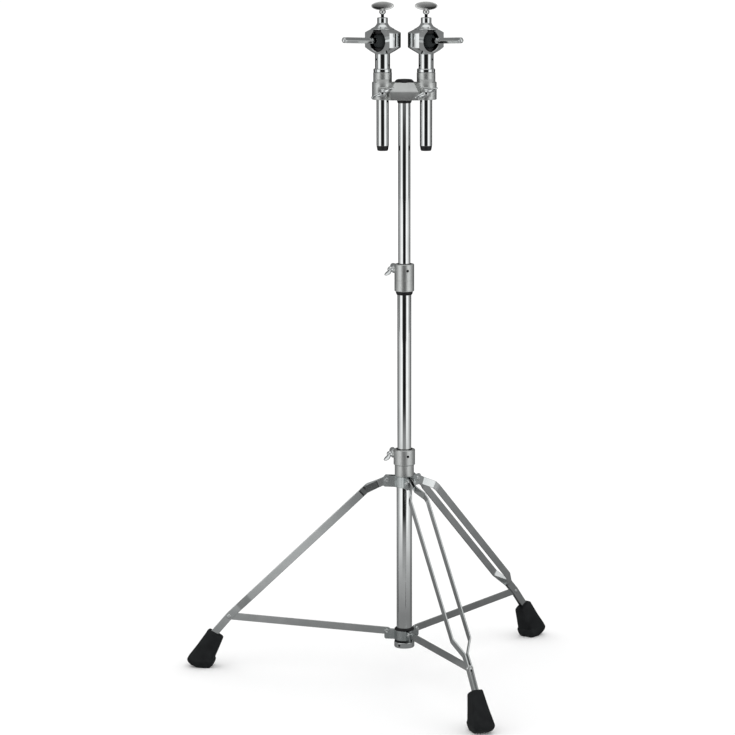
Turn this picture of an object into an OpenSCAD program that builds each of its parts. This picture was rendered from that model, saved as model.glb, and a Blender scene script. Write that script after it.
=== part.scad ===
// Double-braced drum stand with a twin bracket and two ball-clamp arms, for a pair of hand drums or toms.
// Millimetres. The origin is on the floor, on the post's axis; +Z is up and -Y is the front.
// An azimuth is an angle about the post, measured from the front (-Y) towards +X.

/* [Tubes] */
// Outside diameter of the base tube
base_tube_d = 28.6; // [28.4:0.1:28.8]
// Outside diameter of the middle tube
mid_tube_d = 25.4; // [25.3:0.1:25.5]
// Outside diameter of the top tube and of both arm tubes
top_tube_d = 22.2; // [22.1:0.1:22.3]
// Wall of every tube
tube_wall = 1.2; // [1:0.1:1.3]
// Height of the base clamp's top
base_clamp_top = 428.1; // [426:0.1:431]
// Height of the middle clamp's top
mid_clamp_top = 769.6; // [764:0.1:775]
// Height of the twin bracket's top face
bracket_top = 1098.4; // [1095:0.1:1099]

/* [Tripod] */
// Distance of a leg's pivot from the post's axis
leg_pivot_r = 31; // [30.5:0.1:31.5]
// Height of the leg pivots
leg_pivot_z = 370; // [369:0.1:371]
// Distance of a stay's inner pivot from the post's axis
stay_pivot_r = 32.2; // [32:0.1:32.5]
// Height of the stays' inner pivots
stay_pivot_z = 84.5; // [84:0.1:85]
// Distance from the post's axis to the rivet where a stay meets its leg
stay_rivet_r = 332; // [331:0.5:333]
// Height of the rivet where a stay meets its leg
stay_rivet_z = 99; // [98.5:0.5:99.5]
// Width of the flat strap that the legs are made of
strap_w = 14; // [13:0.5:15]
// Thickness of the leg and stay straps
strap_t = 2.5; // [2:0.1:2.6]
// Distance from a leg's middle plane to the middle of each strap
strap_spread = 16.5; // [15:0.5:18]

/* [Heads] */
// Distance between the two arm axes
arm_pitch = 78; // [77:0.5:80]
// Height of the ball centres
ball_z = 1171.5; // [1170:0.5:1173]
// Diameter of the ball
ball_d = 34; // [33:0.5:34]
// Outside diameter of a clamp head
head_d = 65.5; // [64:0.5:67]
// Width across flats of the hexagonal rod
rod_af = 10.5; // [10:0.1:10.6]
// Reach of the rod from the ball's centre
rod_reach = 92; // [85:1:100]

/* [Hidden] */
$fn = 64;

fit = 0.05;          // running clearance on a radius
gap = 0.35;          // clearance between neighbours that move past each other
over = 1;            // how far a cutter runs past what it cuts
base_r = base_tube_d / 2;
mid_r = mid_tube_d / 2;
top_r = top_tube_d / 2;
front_azimuth = 20;
right_azimuth = 140;
left_azimuth = -100;
screw_r = 2.75;      // M6 wing bolts
key_screw_r = 1.8;
key_azimuth = 20;    // where the key screws face
wing_azimuth = -110; // where the clamps' wing bolts face

base_clamp_bottom = 378.2;
base_clamp_step = 399.2;
base_clamp_r = 19.7;
base_clamp_low_r = 17.6;
base_tube_bottom = 56;
base_tube_top = 398;
mid_clamp_bottom = 719.6;
mid_clamp_r = 17.9;
mid_tube_bottom = 345;
mid_tube_top = mid_clamp_bottom + 14;
top_tube_bottom = 650;
key_below_top = 11.3;   // from a clamp's top face to its screws
boss_r = 6.5;           // boss that a clamp's wing bolt passes through
wing_out = 8.6;         // from a clamp's side to the middle of its wing bolt

bracket_h = 31.6;
bracket_bottom = bracket_top - bracket_h;
bracket_end_r = 19;
arm_x = arm_pitch / 2;
arm_bottom = 974.8;
sleeve_top = 1115.5;
neck_bottom = 1115.5 + gap;
neck_top = 1148.4;
housing_top = 1192;
dome_top = 1213;
rod_azimuth = 50;       // outwards from the front, mirrored on the other arm
head_wing_turn = 12;    // of the plates on the heads, from facing the front
right_yaw = 6;          // how far the right ball is turned towards the front from the left one's place
rod_rise = 2.7;         // how far the rods point upwards, in degrees
window_azimuth = 41;
window_r = 18.5;
facet_reach = 14.4;     // from an arm's axis to the flat face that its window opens in

// Turns +X to point along an azimuth
module at_azimuth(a) {
    rotate([0, 0, a - 90]) children();
}

// A round piece about the Z axis from a list of [radius, height] corners
module turned(profile) {
    rotate_extrude() polygon(profile);
}

// A tube about the Z axis
module pipe(r_out, r_in, z0, z1) {
    turned([[r_in, z0], [r_out, z0], [r_out, z1], [r_in, z1]]);
}

// A cylinder along X from x0 to x1
module bar_x(r, x0, x1) {
    translate([x0, 0, 0]) rotate([0, 90, 0]) cylinder(r = r, h = x1 - x0);
}

// A cylinder along Y from y0 to y1
module bar_y(r, y0, y1) {
    translate([0, y0, 0]) rotate([-90, 0, 0]) cylinder(r = r, h = y1 - y0);
}

// A fuller oval than an ellipse, with half axes a and b
function oval(a, b, power = 0.8, count = 40) = [
    for (i = [0:count - 1])
        let (t = 360 * i / count)
        [a * sign(cos(t)) * pow(abs(cos(t)), power), b * sign(sin(t)) * pow(abs(sin(t)), power)]
];

// ---------------------------------------------------------------- wing bolts

wing_l = 48;
wing_depth = 11;
wing_t = 4.5;
knuckle_r = 5.6;

// A wing bolt along X: the wings' middle at the origin, the shank towards -X
module wing_bolt(shank_end, tilt) {
    color("gainsboro") rotate([tilt, 0, 0]) {
        translate([0, 0, -wing_t / 2]) linear_extrude(wing_t) polygon(oval(wing_depth / 2, wing_l / 2));
        bar_x(knuckle_r, -7, 3);
        bar_x(screw_r, shank_end, -6);
    }
}

// The wing bolt of a clamp of radius clamp_r, whose screw reaches the tube of radius tube_r
module clamp_wing_bolt(tube_r, clamp_r, z) {
    reach = clamp_r + wing_out;
    at_azimuth(wing_azimuth) translate([reach, 0, z]) wing_bolt(tube_r + 0.4 - reach, -23);
}

module base_wing_bolt() { clamp_wing_bolt(mid_r, base_clamp_r, base_clamp_top - key_below_top); }
module mid_wing_bolt() { clamp_wing_bolt(top_r, mid_clamp_r, mid_clamp_top - key_below_top); }

// ---------------------------------------------------------------- base

module base_tube() {
    color("silver") pipe(base_r, base_r - tube_wall, base_tube_bottom, base_tube_top);
}

// The holes of a tube clamp for its wing bolt and its key screw
module clamp_holes(r, top) {
    translate([0, 0, top - key_below_top]) {
        at_azimuth(wing_azimuth) bar_x(screw_r + fit, 0, r + 8);
        at_azimuth(key_azimuth) bar_x(key_screw_r + fit, 0, r + 8);
    }
}

// The boss on a tube clamp's side that its wing bolt goes through
module clamp_boss(r, top) {
    translate([0, 0, top - key_below_top]) at_azimuth(wing_azimuth) bar_x(boss_r, r - 4, r + 1.2);
}

base_bush_r = base_r + 0.6;

module base_clamp() {
    color("lightgray") difference() {
        union() {
            turned([
                [0, base_clamp_bottom], [base_clamp_low_r, base_clamp_bottom],
                [base_clamp_low_r, base_clamp_step], [base_clamp_r - 0.8, base_clamp_step],
                [base_clamp_r, base_clamp_step + 0.8], [base_clamp_r, base_clamp_top - 1.2],
                [base_clamp_r - 1.2, base_clamp_top], [0, base_clamp_top]
            ]);
            clamp_boss(base_clamp_r, base_clamp_top);
        }
        turned([
            [0, base_clamp_bottom - over], [base_r, base_clamp_bottom - over], [base_r, base_clamp_step],
            [base_bush_r, base_clamp_step], [base_bush_r, base_clamp_top + over], [0, base_clamp_top + over]
        ]);
        clamp_holes(base_clamp_r, base_clamp_top);
    }
}

module base_clamp_bush() {
    color("dimgray") difference() {
        pipe(base_bush_r - fit, mid_r + fit, base_clamp_step, base_clamp_top + 0.6);
        clamp_holes(base_clamp_r, base_clamp_top);
    }
}

// One key screw along X with its square socket
module key_screw(x0, x1) {
    color("black") difference() {
        bar_x(key_screw_r, x0, x1);
        translate([x1 - 1.5, -0.8, -0.8]) cube([2.5, 1.6, 1.6]);
    }
}

end_ring_bottom = 55.6;
end_ring_top = 66;
end_ring_r = 18.75;

module base_key_screws() {
    at_azimuth(key_azimuth)
        translate([0, 0, base_clamp_top - key_below_top]) key_screw(mid_r + 0.5, base_clamp_r - 0.6);
    at_azimuth(-30)
        translate([0, 0, end_ring_bottom + 5.4]) key_screw(base_r + fit, end_ring_r - 0.6);
}

module end_ring() {
    color("silver") difference() {
        turned([
            [base_r, end_ring_bottom], [end_ring_r - 1.5, end_ring_bottom], [end_ring_r, end_ring_bottom + 1.5],
            [end_ring_r, end_ring_top - 1], [end_ring_r - 1, end_ring_top], [base_r, end_ring_top]
        ]);
        at_azimuth(-30) translate([0, 0, end_ring_bottom + 5.4]) bar_x(key_screw_r, 0, end_ring_r + over);
    }
}

// ---------------------------------------------------------------- leg collar and spreader bracket

collar_bottom = 357.6;
collar_top = base_clamp_bottom - 0.1;
collar_r = 17;
ear_t = 2.2;
pin_r = 2.5;
pin_head_r = 4.4;
pin_head_t = 1.8;
strap_inner = 3.5;      // middle of each strap at the leg's pivot
collar_ear_y = strap_inner + strap_t / 2 + gap;
spreader_bottom = 69;
spreader_top = 88;
spreader_r = 17.2;
liner_r = 15.6;
spreader_ear_y = strap_t / 2 + gap;

// A pair of rounded ears along +X that carries a pivot at [pivot_r, pivot_z]
module ears(inner_r, pivot_r, pivot_z, z0, z1, y_in, end_r) {
    for (side = [-1, 1])
        translate([0, side * (y_in + ear_t / 2), 0]) difference() {
            translate([0, ear_t / 2, 0]) rotate([90, 0, 0]) linear_extrude(ear_t) {
                translate([inner_r, z0]) square([pivot_r - inner_r, z1 - z0]);
                translate([pivot_r - 0.1, max(z0, pivot_z - end_r)])
                    square([end_r * 0.6, min(z1, pivot_z + end_r) - max(z0, pivot_z - end_r)]);
                intersection() {
                    translate([pivot_r, pivot_z]) circle(r = end_r);
                    translate([pivot_r, z0]) square([end_r, z1 - z0]);
                }
            }
            translate([pivot_r, 0, pivot_z]) bar_y(pin_r + fit, -ear_t, ear_t);
        }
}

module leg_collar() {
    color("lightgray") difference() {
        union() {
            pipe(collar_r, base_r, collar_bottom, collar_top);
            for (a = [front_azimuth, right_azimuth, left_azimuth])
                at_azimuth(a)
                    ears(base_r + 1, leg_pivot_r, leg_pivot_z, collar_bottom, collar_top, collar_ear_y, 7.8);
        }
        translate([0, 0, collar_bottom - over]) cylinder(r = base_r, h = collar_top - collar_bottom + 2 * over);
    }
}

// A headed pin along Y through a pair of ears
module headed_pin(y_ear) {
    y_out = y_ear + ear_t;
    bar_y(pin_r, -y_out - 0.2, y_out + 0.2);
    for (side = [-1, 1]) translate([0, side * (y_out + 0.1 + pin_head_t / 2), 0])
        bar_y(pin_head_r, -pin_head_t / 2, pin_head_t / 2);
}

module collar_pins() {
    color("silver") for (a = [front_azimuth, right_azimuth, left_azimuth])
        at_azimuth(a) translate([leg_pivot_r, 0, leg_pivot_z]) headed_pin(collar_ear_y);
}

module collar_spacers() {
    half = strap_inner - strap_t / 2 - gap;
    color("black") for (a = [front_azimuth, right_azimuth, left_azimuth])
        at_azimuth(a) translate([leg_pivot_r, 0, leg_pivot_z]) difference() {
            bar_y(7, -half, half);
            bar_y(pin_r, -half - over, half + over);
        }
}

module spreader_bracket() {
    color("lightgray") difference() {
        union() {
            pipe(spreader_r, liner_r, spreader_bottom, spreader_top);
            for (a = [front_azimuth, right_azimuth, left_azimuth])
                at_azimuth(a)
                    ears(liner_r + 0.8, stay_pivot_r, stay_pivot_z, spreader_bottom, spreader_top,
                        spreader_ear_y, 5);
        }
        translate([0, 0, spreader_bottom - over])
            cylinder(r = liner_r, h = spreader_top - spreader_bottom + 2 * over);
    }
}

module spreader_liner() {
    flange_r = 18;
    flange_t = 2.6;
    color("black") turned([
        [base_r + fit, spreader_bottom - flange_t], [flange_r, spreader_bottom - flange_t],
        [flange_r, spreader_bottom], [liner_r, spreader_bottom], [liner_r, spreader_top],
        [flange_r, spreader_top], [flange_r, spreader_top + flange_t], [flange_r - 2, spreader_top + 4.4],
        [base_r + fit, spreader_top + 4.4]
    ]);
}

module spreader_pins() {
    color("silver") for (a = [front_azimuth, right_azimuth, left_azimuth])
        at_azimuth(a) translate([stay_pivot_r, 0, stay_pivot_z]) headed_pin(spreader_ear_y);
}

// ---------------------------------------------------------------- legs

bend_r = 70;            // where a leg turns down, from the post's axis
bend_z = 352;
foot_end_r = 366;       // lower ends of the straps, inside the rubber foot
foot_end_z = 59;
spread_start_r = 50;    // where the two straps of a leg part
spread_full_r = 77;
close_start_r = 289;    // where they come together again above the stay's rivet
close_end_r = 313;
strap_low = strap_t + gap; // middle of each strap beside the stay
rivet_hole_r = 2.5;

// Runs its child's +X from [r0, z0] towards [r1, z1] in the leg's plane
module along(r0, z0, r1, z1) {
    translate([r0, 0, z0]) rotate([0, -atan2(z1 - z0, r1 - r0), 0]) children();
}

// The point i of a middle line moved sideways by d, at a mitre where the line bends
function unit(v) = v / norm(v);
function left_of(v) = [-v[1], v[0]];
function beside(line, i, d) =
    let (
        a = left_of(unit(i > 0 ? line[i] - line[i - 1] : line[1] - line[0])),
        b = left_of(unit(i < len(line) - 1 ? line[i + 1] - line[i] : line[i] - line[i - 1])),
        m = unit(a + b)
    )
    line[i] + m * d / (m * a);

// The outline of a band of even width along a middle line, with its first end round if it is a strap's end
function band(line, half, round_end) = concat(
    round_end ? [
        for (t = [80:-20:-80])
            let (back = unit(line[0] - line[1]))
            line[0] + half * (cos(t) * back - sin(t) * left_of(back))
    ] : [],
    [for (i = [0:len(line) - 1]) beside(line, i, -half)],
    [for (i = [len(line) - 1:-1:0]) beside(line, i, half)]
);

module leg_strap() {
    side_view = [
        [leg_pivot_r, leg_pivot_z], [bend_r, bend_z], [stay_rivet_r, stay_rivet_z], [foot_end_r, foot_end_z]
    ];
    top_view = [
        [leg_pivot_r - 10, strap_inner], [spread_start_r, strap_inner], [bend_r, strap_spread - 2.5],
        [spread_full_r, strap_spread], [close_start_r, strap_spread], [close_end_r, strap_low],
        [foot_end_r + 20, strap_low]
    ];
    difference() {
        intersection() {
            rotate([90, 0, 0]) linear_extrude(100, center = true) polygon(band(side_view, strap_w / 2, true));
            linear_extrude(500) polygon(band(top_view, strap_t / 2, false));
        }
        translate([leg_pivot_r, 0, leg_pivot_z]) bar_y(pin_r + fit, 0, strap_inner + strap_t);
        translate([stay_rivet_r, 0, stay_rivet_z]) bar_y(rivet_hole_r, 0, strap_low + strap_t);
    }
}

module leg_straps(a) {
    color("silver") at_azimuth(a) {
        leg_strap();
        mirror([0, 1, 0]) leg_strap();
    }
}

// The rivet where the stay meets the leg, in two stubs that stay clear of the stay itself
module leg_rivets(a) {
    color("silver") at_azimuth(a) translate([stay_rivet_r, 0, stay_rivet_z]) for (side = [0, 1])
        mirror([0, side, 0]) {
            bar_y(rivet_hole_r, strap_low - strap_t / 2, strap_low + strap_t / 2 + 0.2);
            translate([0, strap_low + strap_t / 2 + 0.1, 0]) bar_y(4.2, 0, 1.6);
        }
}

module stay(a) {
    stay_w = 13.5;
    color("silver") at_azimuth(a) along(stay_pivot_r, stay_pivot_z, stay_rivet_r, stay_rivet_z) difference() {
        length = norm([stay_rivet_r - stay_pivot_r, stay_rivet_z - stay_pivot_z]);
        translate([0, strap_t / 2, 0]) rotate([90, 0, 0]) linear_extrude(strap_t) {
            translate([0, -stay_w / 2]) square([length, stay_w]);
            circle(r = stay_w / 2);
            translate([length, 0]) circle(r = stay_w / 2);
        }
        bar_y(pin_r + fit, -strap_t, strap_t);
        translate([length, 0, 0]) bar_y(pin_r + fit, -strap_t, strap_t);
    }
}

// A rubber foot: rounded block, narrow at the strap and wide at the sole
module foot(a) {
    module slab(r0, z0, r1, z1, width, edge) {
        along(r0, z0, r1, z1)
            for (x = [edge, norm([r1 - r0, z1 - z0]) - edge]) for (y = [-1, 1])
                translate([x, y * (width / 2 - edge), 0]) sphere(r = edge, $fn = 16);
    }
    color([0.08, 0.08, 0.08]) at_azimuth(a) intersection() {
        hull() {
            slab(345, 57, 373, 72, 22, 2.5);
            slab(361, 14, 412, 13, 40, 3);
            slab(364, 2.4, 402, 2.4, 36, 2.5);
        }
        translate([300, -50, 0]) cube([150, 100, 100]);
    }
}

module front_leg_straps() { leg_straps(front_azimuth); }
module right_leg_straps() { leg_straps(right_azimuth); }
module left_leg_straps() { leg_straps(left_azimuth); }
module front_leg_rivets() { leg_rivets(front_azimuth); }
module right_leg_rivets() { leg_rivets(right_azimuth); }
module left_leg_rivets() { leg_rivets(left_azimuth); }
module front_stay() { stay(front_azimuth); }
module right_stay() { stay(right_azimuth); }
module left_stay() { stay(left_azimuth); }
module front_foot() { foot(front_azimuth); }
module right_foot() { foot(right_azimuth); }
module left_foot() { foot(left_azimuth); }

// ---------------------------------------------------------------- middle and top tubes

mid_bush_r = mid_r + 0.6;

module mid_tube() {
    color("silver") pipe(mid_r, mid_r - tube_wall, mid_tube_bottom, mid_tube_top);
}

module mid_clamp() {
    color("lightgray") difference() {
        union() {
            turned([
                [0, mid_clamp_bottom], [mid_clamp_r - 1.5, mid_clamp_bottom],
                [mid_clamp_r, mid_clamp_bottom + 1.5], [mid_clamp_r, mid_clamp_top - 1.2],
                [mid_clamp_r - 1.2, mid_clamp_top], [0, mid_clamp_top]
            ]);
            clamp_boss(mid_clamp_r, mid_clamp_top);
        }
        turned([
            [0, mid_clamp_bottom - over], [mid_r + 1, mid_clamp_bottom - over], [mid_r + 1, mid_clamp_bottom + 6],
            [mid_r, mid_clamp_bottom + 6], [mid_r, mid_tube_top + 0.2], [mid_bush_r, mid_tube_top + 0.2],
            [mid_bush_r, mid_clamp_top + over], [0, mid_clamp_top + over]
        ]);
        clamp_holes(mid_clamp_r, mid_clamp_top);
    }
}

// The nylon bush that the top tube runs in
module mid_bush_core() {
    pipe(mid_bush_r - fit, top_r + fit, mid_tube_top + 0.2, mid_clamp_top + 0.6);
}

// The black sleeve that closes the clamp's lower mouth
module mid_bush_skirt() {
    turned([
        [mid_r + fit, mid_clamp_bottom - 6.4], [mid_r + 1.2, mid_clamp_bottom - 6.4],
        [mid_r + 2.6, mid_clamp_bottom - 3], [mid_r + 2.6, mid_clamp_bottom - 0.1],
        [mid_r + 0.9, mid_clamp_bottom - 0.1], [mid_r + 0.9, mid_clamp_bottom + 5.8],
        [mid_r + fit, mid_clamp_bottom + 5.8]
    ]);
}

module mid_clamp_bush() {
    color("black") {
        difference() {
            mid_bush_core();
            clamp_holes(mid_clamp_r, mid_clamp_top);
        }
        mid_bush_skirt();
    }
}

module mid_key_screw() {
    at_azimuth(key_azimuth)
        translate([0, 0, mid_clamp_top - key_below_top]) key_screw(top_r + 0.5, mid_clamp_r - 0.6);
}

module top_tube() {
    color("silver") pipe(top_r, top_r - tube_wall, top_tube_bottom, bracket_top - 2);
}

// ---------------------------------------------------------------- twin bracket

hub_front = 27;

module twin_bracket() {
    color("lightgray") difference() {
        union() {
            for (side = [-1, 1]) translate([side * arm_x, 0, bracket_bottom]) {
                cylinder(r = bracket_end_r, h = bracket_h);
                translate([-9, -24.5, 4]) cube([18, 22, 20]);
            }
            translate([-arm_x, -13, bracket_bottom]) cube([arm_pitch, 26, bracket_h - 4]);
            // The hub bulges to the front and back, with sloping shoulders
            translate([-24, 0, bracket_bottom]) rotate([90, 0, 90]) linear_extrude(48)
                polygon([
                    [-hub_front, 0], [hub_front, 0], [hub_front, 15.5], [hub_front - 10, bracket_h - 1],
                    [10 - hub_front, bracket_h - 1], [-hub_front, 15.5]
                ]);
        }
        for (side = [-1, 1]) translate([side * arm_x, 0, 0]) {
            translate([0, 0, bracket_bottom - over])
                cylinder(r = top_r + fit, h = bracket_h + 2 * over);
            translate([0, 0, arm_wing_z]) bar_y(screw_r + fit, -40, 0);
            translate([-0.75, -30, bracket_bottom - over]) cube([1.5, 20, 5 + over]);
        }
        translate([0, 0, bracket_bottom - over]) cylinder(r = top_r + fit, h = bracket_h + 2 * over);
        // Chamfers that make the hub a hexagon in plan
        for (sx = [-1, 1]) for (sy = [-1, 1])
            translate([sx * 24, sy * hub_front, bracket_bottom - over])
                rotate([0, 0, 45]) cube([9, 9, 80], center = true);
    }
}

module bracket_cap() {
    color("black") turned([
        [0, bracket_top - 1.6], [top_r - 0.2, bracket_top - 1.6], [top_r - 0.2, bracket_top - 0.9],
        [17, bracket_top - 0.9], [17, bracket_top + 2], [14, bracket_top + 5], [0, bracket_top + 6]
    ]);
}

module bracket_bush() {
    color("black") turned([
        [top_r + fit, bracket_bottom - 6.2], [top_r + 0.9, bracket_bottom - 6.2],
        [13.5, bracket_bottom - 2.5], [13.5, bracket_bottom - 0.1], [top_r + fit, bracket_bottom - 0.1]
    ]);
}

// ---------------------------------------------------------------- arms

arm_wing_z = 1081;
sleeve_r = 16.75;
neck_r = 13.5;
ring_r = 16.25;
head_r = head_d / 2;
ball_r = ball_d / 2;
bore_r = 17.25;
recess_r = 13;          // recess below the bore that the lower seat's stem stands in
bore_bottom = ball_z - 14.5;
seat_low = ball_z - 19.1;
seat_high = ball_z + 19.5;
seat_r = 14.2;          // both seats stay behind the window's flat face

// Builds the left arm's pieces on its axis; the right arm is their mirror image
module on_arm(side) {
    if (side < 0) translate([-arm_x, 0, 0]) children();
    else mirror([1, 0, 0]) translate([-arm_x, 0, 0]) children();
}

module arm_wing_bolt(side) {
    translate([side * arm_x, 0, arm_wing_z]) rotate([0, 0, -90]) translate([34, 0, 0])
        wing_bolt(top_r + 0.4 - 34, 24);
}

module lock_sleeve() {
    color("lightgray") turned([
        [top_r + fit, bracket_top + 0.1], [sleeve_r, bracket_top + 0.1], [sleeve_r, sleeve_top - 0.8],
        [sleeve_r - 0.8, sleeve_top], [top_r + fit, sleeve_top]
    ]);
}

module arm_tube() {
    color("silver") pipe(top_r, top_r - tube_wall, arm_bottom + 9, neck_bottom + 14);
}

module arm_cap() {
    color("black") turned([
        [0, arm_bottom], [top_r - 2.4, arm_bottom], [top_r - 1.6, arm_bottom + 0.8], [top_r, arm_bottom + 8.9],
        [top_r - 1.3, arm_bottom + 8.9], [top_r - 1.3, arm_bottom + 16], [0, arm_bottom + 16]
    ]);
}

module neck() {
    color("silver") difference() {
        turned([
            [0, neck_bottom], [ring_r - 0.6, neck_bottom], [ring_r, neck_bottom + 0.6],
            [ring_r, neck_bottom + 5.4], [ring_r - 0.6, neck_bottom + 6], [neck_r, neck_bottom + 6],
            [neck_r, neck_top], [0, neck_top]
        ]);
        translate([0, 0, neck_bottom - over]) cylinder(r = top_r, h = 14 + over);
        roll_pin_places() bar_x(1.25, 0, neck_r + over);
    }
}

module roll_pin_places() {
    translate([0, 0, neck_bottom + 23]) at_azimuth(-62) children();
    translate([0, 0, neck_bottom + 17.5]) at_azimuth(62) children();
}

module roll_pins() {
    color("black") roll_pin_places() difference() {
        bar_x(1.25, 4, neck_r - 0.3);
        bar_x(0.6, 3, neck_r + over);
    }
}

module window_axis() {
    translate([0, 0, ball_z]) at_azimuth(-window_azimuth) children();
}

module housing() {
    color("silver") difference() {
        turned([
            [0, neck_top + 0.1], [14, neck_top + 0.1], [23, 1154], [head_r - 0.6, 1159.5], [head_r, 1161],
            [head_r, 1185], [head_r - 0.6, 1186.5], [20.8, housing_top], [0, housing_top]
        ]);
        translate([0, 0, seat_low - 0.2]) cylinder(r = recess_r, h = 60);
        translate([0, 0, bore_bottom - 0.1]) cylinder(r = bore_r, h = 60);
        window_axis() {
            bar_x(window_r, 0, head_r + over);
            translate([facet_reach, -50, -50]) cube(100);
        }
    }
}

module dome() {
    color("silver") difference() {
        turned([
            [0, housing_top + 0.1], [20.8, housing_top + 0.1], [17.5, 1193.8], [13.8, 1196.4], [11.2, 1199.6],
            [9.8, 1203], [9.5, 1204], [9.5, dome_top - 0.6], [8.9, dome_top], [0, dome_top]
        ]);
        translate([0, 0, housing_top - 5]) cylinder(r = screw_r + fit, h = 40);
    }
}

// Lower seat and upper pressure pad, both hollowed to the ball
module ball_seats() {
    color("dimgray") difference() {
        union() {
            translate([0, 0, seat_low]) cylinder(r = recess_r - fit, h = bore_bottom - seat_low + 1);
            translate([0, 0, bore_bottom]) cylinder(r = seat_r, h = 1.5);
            translate([0, 0, seat_high - 6]) cylinder(r = seat_r, h = 6);
        }
        translate([0, 0, ball_z]) sphere(r = ball_r + fit);
    }
}

module ball() {
    color([0.1, 0.1, 0.11]) difference() {
        translate([0, 0, ball_z]) sphere(r = ball_r);
        rod_prism(rod_af + 0.1, -ball_r - over, ball_r + over);
    }
}

// Turns +X to run along the rod, from the ball's centre
module rod_axis() {
    translate([0, 0, ball_z]) at_azimuth(-rod_azimuth) rotate([0, -rod_rise, 0]) children();
}

// A hexagonal prism along the rod's axis
module rod_prism(af, x0, x1) {
    rod_axis() translate([x0, 0, 0]) rotate([0, 90, 0]) cylinder(r = af / sqrt(3), h = x1 - x0, $fn = 6);
}

module rod() {
    color("silver") intersection() {
        rod_prism(rod_af, -6.5, rod_reach);
        rod_axis() rotate([0, 90, 0]) turned([
            [0, -7], [7, -7], [7, rod_reach - 6], [5.6, rod_reach - 3], [3.6, rod_reach - 0.8], [0, rod_reach]
        ]);
    }
}

// The wing bolt on top of a clamp head, its plate turned a little towards the other arm
module head_wing_bolt() {
    color("gainsboro") rotate([0, 0, head_wing_turn]) {
        translate([0, 2.25, 0]) rotate([90, 0, 0]) linear_extrude(4.5)
            translate([0, 1233.7]) polygon(oval(20.5, 7.7, 1));
        translate([0, 0, 1219]) cylinder(r = 6, h = 10);
    }
    color("dimgray") translate([0, 0, seat_high + 0.1]) cylinder(r = screw_r, h = 30);
}

module left_arm_wing_bolt() { arm_wing_bolt(-1); }
module right_arm_wing_bolt() { arm_wing_bolt(1); }
module left_lock_sleeve() { on_arm(-1) lock_sleeve(); }
module right_lock_sleeve() { on_arm(1) lock_sleeve(); }
module left_arm_tube() { on_arm(-1) arm_tube(); }
module right_arm_tube() { on_arm(1) arm_tube(); }
module left_arm_cap() { on_arm(-1) arm_cap(); }
module right_arm_cap() { on_arm(1) arm_cap(); }
module left_neck() { on_arm(-1) neck(); }
module right_neck() { on_arm(1) neck(); }
module left_roll_pins() { on_arm(-1) roll_pins(); }
module right_roll_pins() { on_arm(1) roll_pins(); }
module left_housing() { on_arm(-1) housing(); }
module right_housing() { on_arm(1) housing(); }
module left_dome() { on_arm(-1) dome(); }
module right_dome() { on_arm(1) dome(); }
module left_ball_seats() { on_arm(-1) ball_seats(); }
module right_ball_seats() { on_arm(1) rotate([0, 0, right_yaw]) ball_seats(); }
module left_ball() { on_arm(-1) ball(); }
module right_ball() { on_arm(1) rotate([0, 0, right_yaw]) ball(); }
module left_rod() { on_arm(-1) rod(); }
module right_rod() { on_arm(1) rotate([0, 0, right_yaw]) rod(); }
module left_head_wing_bolt() { on_arm(-1) head_wing_bolt(); }
module right_head_wing_bolt() { on_arm(1) head_wing_bolt(); }

base_tube();
base_clamp();
base_clamp_bush();
base_key_screws();
base_wing_bolt();
leg_collar();
collar_pins();
collar_spacers();
end_ring();
spreader_bracket();
spreader_liner();
spreader_pins();
front_leg_straps();
front_leg_rivets();
front_foot();
front_stay();
right_leg_straps();
right_leg_rivets();
right_foot();
right_stay();
left_leg_straps();
left_leg_rivets();
left_foot();
left_stay();
mid_tube();
mid_clamp();
mid_clamp_bush();
mid_key_screw();
mid_wing_bolt();
top_tube();
twin_bracket();
bracket_cap();
bracket_bush();
left_arm_wing_bolt();
left_lock_sleeve();
left_arm_tube();
left_arm_cap();
left_neck();
left_roll_pins();
left_housing();
left_dome();
left_ball_seats();
left_ball();
left_rod();
left_head_wing_bolt();
right_arm_wing_bolt();
right_lock_sleeve();
right_arm_tube();
right_arm_cap();
right_neck();
right_roll_pins();
right_housing();
right_dome();
right_ball_seats();
right_ball();
right_rod();
right_head_wing_bolt();
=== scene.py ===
"""A chrome double-braced stand for two conga drums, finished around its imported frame.

Lengths are in millimetres until a mesh is made. An azimuth is an angle about the post from the front (-Y) towards +X.
Every new surface is a grid of points: a profile carried round an axis, or a section carried along a path.
"""
import math

import bpy
import numpy as np
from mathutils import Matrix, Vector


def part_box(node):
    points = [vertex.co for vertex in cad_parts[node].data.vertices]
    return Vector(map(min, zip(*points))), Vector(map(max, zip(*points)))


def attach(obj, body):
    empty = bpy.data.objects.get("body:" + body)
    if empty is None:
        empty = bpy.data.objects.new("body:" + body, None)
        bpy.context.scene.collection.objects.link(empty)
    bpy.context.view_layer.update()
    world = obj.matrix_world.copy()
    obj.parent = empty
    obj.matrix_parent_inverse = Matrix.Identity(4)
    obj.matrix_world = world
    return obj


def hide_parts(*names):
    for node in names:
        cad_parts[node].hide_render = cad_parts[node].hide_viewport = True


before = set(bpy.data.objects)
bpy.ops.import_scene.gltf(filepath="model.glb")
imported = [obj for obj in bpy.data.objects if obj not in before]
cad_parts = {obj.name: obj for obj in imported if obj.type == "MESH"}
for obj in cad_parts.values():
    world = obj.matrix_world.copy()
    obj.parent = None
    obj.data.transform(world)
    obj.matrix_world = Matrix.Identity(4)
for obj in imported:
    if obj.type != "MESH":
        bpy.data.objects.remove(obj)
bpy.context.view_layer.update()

MM = 0.001
LEGS = {"front": 20.0, "right": 140.0, "left": -100.0}
UP = np.array([0.0, 0.0, 1.0])


# ---------------------------------------------------------------- points and shells

def span(node):
    """Lowest and highest corner of a CAD node, in millimetres."""
    low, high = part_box(node)
    return np.array(low) / MM, np.array(high) / MM


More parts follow.
